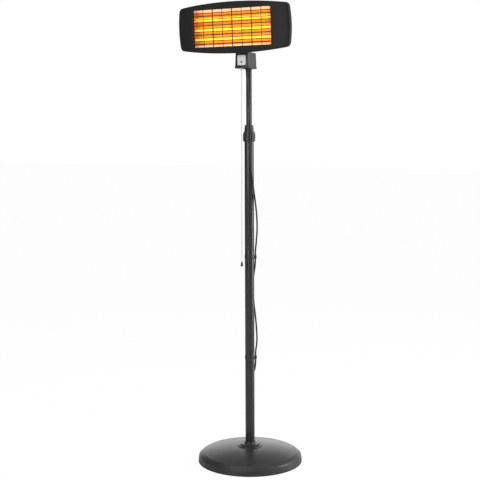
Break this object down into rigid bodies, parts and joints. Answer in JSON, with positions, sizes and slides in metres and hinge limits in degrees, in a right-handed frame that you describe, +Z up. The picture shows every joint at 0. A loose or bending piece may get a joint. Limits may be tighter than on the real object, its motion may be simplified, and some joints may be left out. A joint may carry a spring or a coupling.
{
  "type": "free-standing patio heater",
  "caption": "Free-standing electric patio heater: a tilting quartz-tube head with a wire guard and pull cord on a telescoping mast over a weighted round base.",
  "frame": {"origin": "on the floor, on the mast's axis", "axes": "+Z up the mast; X along the head's long side; the heater faces -Y"},
  "size_m": [0.511, 0.5887, 1.9462],
  "materials": {
    "base_paint": "textured matt dark grey powder coat",
    "weight_concrete": "cast concrete",
    "rubber": "matt black rubber",
    "cord_rubber": "black rubber cord sheath",
    "plug_rubber": "moulded black rubber plug with steel pins",
    "mast_paint": "satin dark grey powder coat",
    "zinc_steel": "zinc-plated steel",
    "bracket_steel": "blackened steel",
    "black_plastic": "fine-grained black plastic",
    "nylon": "dark nylon",
    "switch_plate": "pale grey plastic",
    "pull_cord": "twisted pale cord",
    "bezel_paint": "satin charcoal paint",
    "housing_paint": "satin charcoal powder coat",
    "guard_wire": "heat-stained dark wire",
    "reflector": "polished aluminium",
    "quartz_glass": "translucent quartz",
    "glowing_coil": "glowing resistance wire",
    "ceramic": "unglazed ceramic",
    "wire_sleeve": "woven heat-proof sleeve"
  },
  "bodies": {
    "stand": {"base_cover": "base_paint", "base_weight": "weight_concrete", "foot_ring": "rubber", "pole_socket": "base_paint", "foot_plug": "zinc_steel", "base_washer": "zinc_steel", "base_bolt": "zinc_steel", "mast_lower_tube": "mast_paint", "mast_middle_tube": "mast_paint", "mast_upper_tube": "mast_paint", "mast_coupler_lower": "zinc_steel", "mast_coupler_upper": "zinc_steel", "cable_clip_upper": "black_plastic", "cable_clip_lower": "black_plastic", "lock_sleeve": "black_plastic", "lock_collet": "nylon", "mains_cord": "cord_rubber", "cord_hank": "cord_rubber", "cord_tail": "cord_rubber", "mains_plug": "plug_rubber"},
    "collar": {"collar_nut": "black_plastic"},
    "mast": {"inner_mast": "mast_paint", "guide_bush": "nylon", "neck_housing": "black_plastic", "neck_base": "black_plastic", "switch_plate": "switch_plate", "plate_screw": "black_plastic", "pull_switch": "nylon", "cable_gland": "rubber", "cord_ferrule": "zinc_steel", "tilt_yoke": "bracket_steel", "yoke_screw": "zinc_steel", "link_lead": "cord_rubber"},
    "pull": {"pull_slider": "nylon", "pull_cord": "pull_cord", "pull_knob": "black_plastic"},
    "head": {"bezel": "bezel_paint", "grille": "guard_wire", "reflector": "reflector", "rear_housing": "housing_paint", "quartz_tube_top": "quartz_glass", "quartz_tube_middle": "quartz_glass", "quartz_tube_bottom": "quartz_glass", "heating_coil_top": "glowing_coil", "heating_coil_middle": "glowing_coil", "heating_coil_bottom": "glowing_coil", "lamp_holder_left": "ceramic", "lamp_holder_right": "ceramic", "lamp_wire_left": "wire_sleeve", "lamp_wire_right": "wire_sleeve", "terminal_block": "ceramic", "tip_over_switch": "nylon", "head_bracket": "bracket_steel", "tilt_bolt": "zinc_steel", "tilt_washer_left": "zinc_steel", "tilt_washer_right": "zinc_steel"},
    "knob_left": {"tilt_knob_left": "black_plastic"},
    "knob_right": {"tilt_knob_right": "black_plastic"}
  },
  "joints": [
    {"name": "mast_height", "type": "slide", "parent": "stand", "child": "mast", "axis": [0, 0, 1], "range_m": [-0.22, 0.12], "deforming": ["mains_cord"]},
    {"name": "collar_twist", "type": "hinge", "parent": "stand", "child": "collar", "pos_m": [0, 0, 1.4], "axis": [0, 0, 1], "range_deg": [0, 180]},
    {"name": "head_tilt", "type": "hinge", "parent": "mast", "child": "head", "pos_m": [0, -0.025, 1.79], "axis": [1, 0, 0], "range_deg": [-15, 30], "deforming": ["link_lead"]},
    {"name": "tilt_knob_left_turn", "type": "hinge", "parent": "head", "child": "knob_left", "pos_m": [0, -0.025, 1.79], "axis": [1, 0, 0], "range_deg": [0, 360]},
    {"name": "tilt_knob_right_turn", "type": "hinge", "parent": "head", "child": "knob_right", "pos_m": [0, -0.025, 1.79], "axis": [1, 0, 0], "range_deg": [0, 360]},
    {"name": "cord_pull", "type": "slide", "parent": "mast", "child": "pull", "axis": [0, 0, -1], "range_m": [0, 0.012], "stiffness_N_per_m": 500, "springref_m": -0.004}
  ]
}
